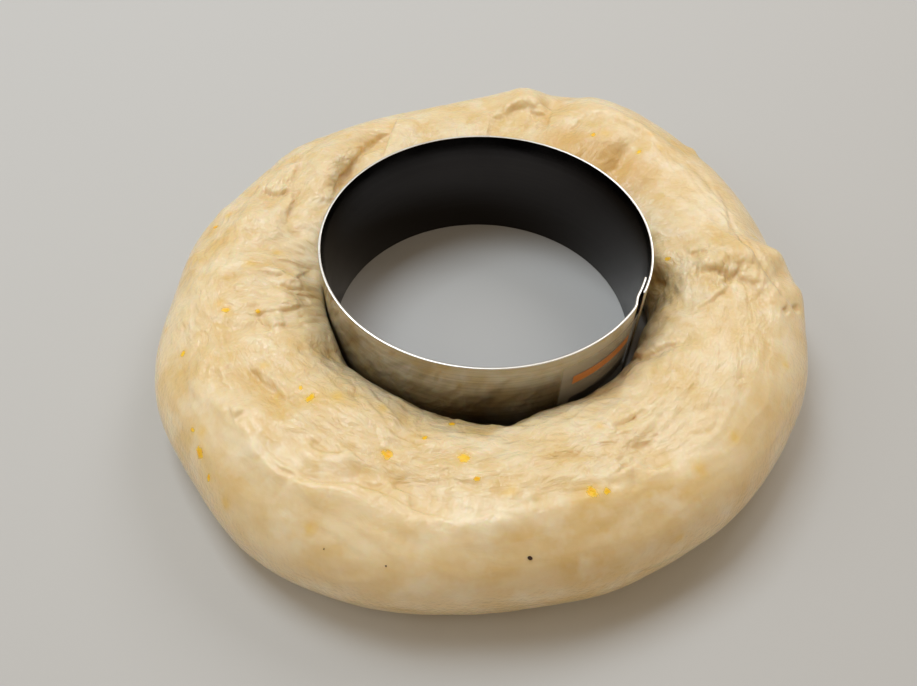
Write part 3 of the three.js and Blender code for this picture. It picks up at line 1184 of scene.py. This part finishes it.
def film_material():
    """Clear film with a plain orange stripe over a plain dark band."""
    shader = Shader("film_label")
    sheet = shader.add("ShaderNodeSeparateXYZ", {0: shader.kept("sheet", "Vector")})
    along, up = sheet.outputs[0], sheet.outputs[1]

    def band(value, low, high):
        """1 between two limits."""
        above = shader.math("GREATER_THAN", value, low)
        return shader.math("MULTIPLY", above, shader.math("LESS_THAN", value, high))

    inset = band(along, *PRINT_LENGTH)
    stripe = shader.math("MULTIPLY", inset, band(up, *STRIPE_HEIGHT))
    dark = shader.math("MULTIPLY", inset, band(up, *BAND_HEIGHT))
    printed = shader.math("ADD", stripe, dark)
    wear, roughness = shader.gloss(shader.place(), FILM_WEAR, FILM_ROUGHNESS)
    colour = shader.mix(stripe, CLEAR_FILM, FILM_ORANGE)
    colour = shader.mix(dark, colour, FILM_DARK)
    shader.finish(
        Base_Color=colour,
        Alpha=shader.spread(printed, *FILM_ALPHA),
        Roughness=roughness,
        Normal=shader.bump(wear, strength=0.1, distance=0.05 * MM),
    )
    return shader.material


# Stage

# Large soft lamps: name, place in metres, side in metres, power in watts and colour
LAMPS = (
    ("key", (-0.35, 0.35, 1.06), 0.5, 5.9, (0.91, 1, 1.06)),
    ("back", (0.425, 0.735, 0.85), 0.5, 3.2, (1, 1, 1)),
    ("left", (-0.983, -0.1, 0.688), 0.6, 1.9, (0.93, 0.96, 0.96)),
    ("front", (0.75, -0.75, 0.75), 0.8, 0.9, (1, 0.84, 0.62)),
)
LAMP_AIM = Vector((0, 0, 0.02))
FILL_COLOUR = (1, 0.8, 0.57, 1)
FILL_STRENGTH = 0.36
BACKDROP = paint(206, 205, 202)
FLOOR_PALE = paint(198, 199, 200)
FLOOR_SIZE = 3  # metres
NEAREST_SEEN = 10 * MM


def light(name, place, side, power, colour):
    """A square lamp turned towards the cake."""
    lamp = bpy.data.lights.new(name, "AREA")
    lamp.shape = "SQUARE"
    lamp.size = side
    lamp.energy = power
    lamp.color = colour
    stand = bpy.data.objects.new(name, lamp)
    stand.location = place
    stand.rotation_euler = (Vector(place) - LAMP_AIM).to_track_quat("Z", "Y").to_euler()
    bpy.context.scene.collection.objects.link(stand)


def set_world():
    """Warm light from all round, behind a pale wall that only the camera sees."""
    world = bpy.data.worlds.new("studio")
    world.use_nodes = True
    tree = world.node_tree
    fill = tree.nodes["Background"]
    fill.inputs["Color"].default_value = FILL_COLOUR
    fill.inputs["Strength"].default_value = FILL_STRENGTH
    nodes = Nodes(tree)
    seen = nodes.add("ShaderNodeLightPath", {}).outputs["Is Camera Ray"]
    backdrop = nodes.add("ShaderNodeBackground", {"Color": BACKDROP})
    chosen = nodes.add("ShaderNodeMixShader", {0: seen, 1: fill.outputs[0], 2: backdrop.outputs[0]})
    nodes.give(tree.nodes["World Output"].inputs["Surface"], chosen.outputs[0])
    bpy.context.scene.world = world


def set_stage():
    """A plain pale floor, soft studio light and the photograph's camera."""
    bpy.ops.object.select_all(action="DESELECT")
    bpy.ops.mesh.primitive_plane_add(size=FLOOR_SIZE, location=(0, 0, 0))
    floor = bpy.context.active_object
    floor.name = "floor"
    shader = Shader("floor")
    shader.finish(Base_Color=FLOOR_PALE, Roughness=0.75)
    floor.data.materials.append(shader.material)

    for lamp in LAMPS:
        light(*lamp)
    set_world()
    bpy.context.scene.view_settings.view_transform = "Standard"

    place, right, up, forward = camera_axes()
    lens = bpy.data.cameras.new("photo_camera")
    lens.sensor_width = SENSOR_WIDTH
    lens.lens = SENSOR_WIDTH * FOCAL_LENGTH / PHOTO_WIDTH
    lens.clip_start = NEAREST_SEEN
    camera = bpy.data.objects.new("photo_camera", lens)
    turned = Matrix((right, up, -forward)).transposed().to_4x4()
    camera.matrix_world = Matrix.Translation(place) @ turned
    bpy.context.scene.collection.objects.link(camera)
    bpy.context.scene.camera = camera


def dress(piece, material, node=None):
    """Gives a piece its material and ties it to the part."""
    piece.data.materials.clear()
    piece.data.materials.append(material)
    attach(piece, "root")
    if node:
        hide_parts(node)


def store_skin(dough, zest_spots):
    """Keeps on the dough what its material reads."""
    places, _ = points_of(dough)
    stain = np.zeros(len(places))
    for spot, length in zest_spots:
        stain = np.maximum(stain, nearness(places, np.array(spot), length * STAIN_REACH))
    store(dough, "flow", unrolled(places))
    store(dough, "radial", radial_share(places))
    store(dough, "handled", handled_share(places))
    # Depth that places the painted shade in hollows and the painted highlight on ridges
    store(dough, "hollow", hollow_depth(dough))
    store(dough, "stain", stain)
    # Painted shade on the steep inner slope at the back right
    store(dough, "painted_slope_shade", painted_slope_shade_share(places))


raw_dough = shape_dough()
steel_ring = shape_steel()
film_label = shape_label()
orange_zest, dark_specks, peel_spots = shape_flecks(raw_dough)
store_skin(raw_dough, peel_spots)

dress(raw_dough, dough_material(), "dough_ring")
dress(steel_ring, steel_material(), "steel_ring")
dress(film_label, film_material())
dress(orange_zest, zest_material())
dress(dark_specks, speck_material())
set_stage()
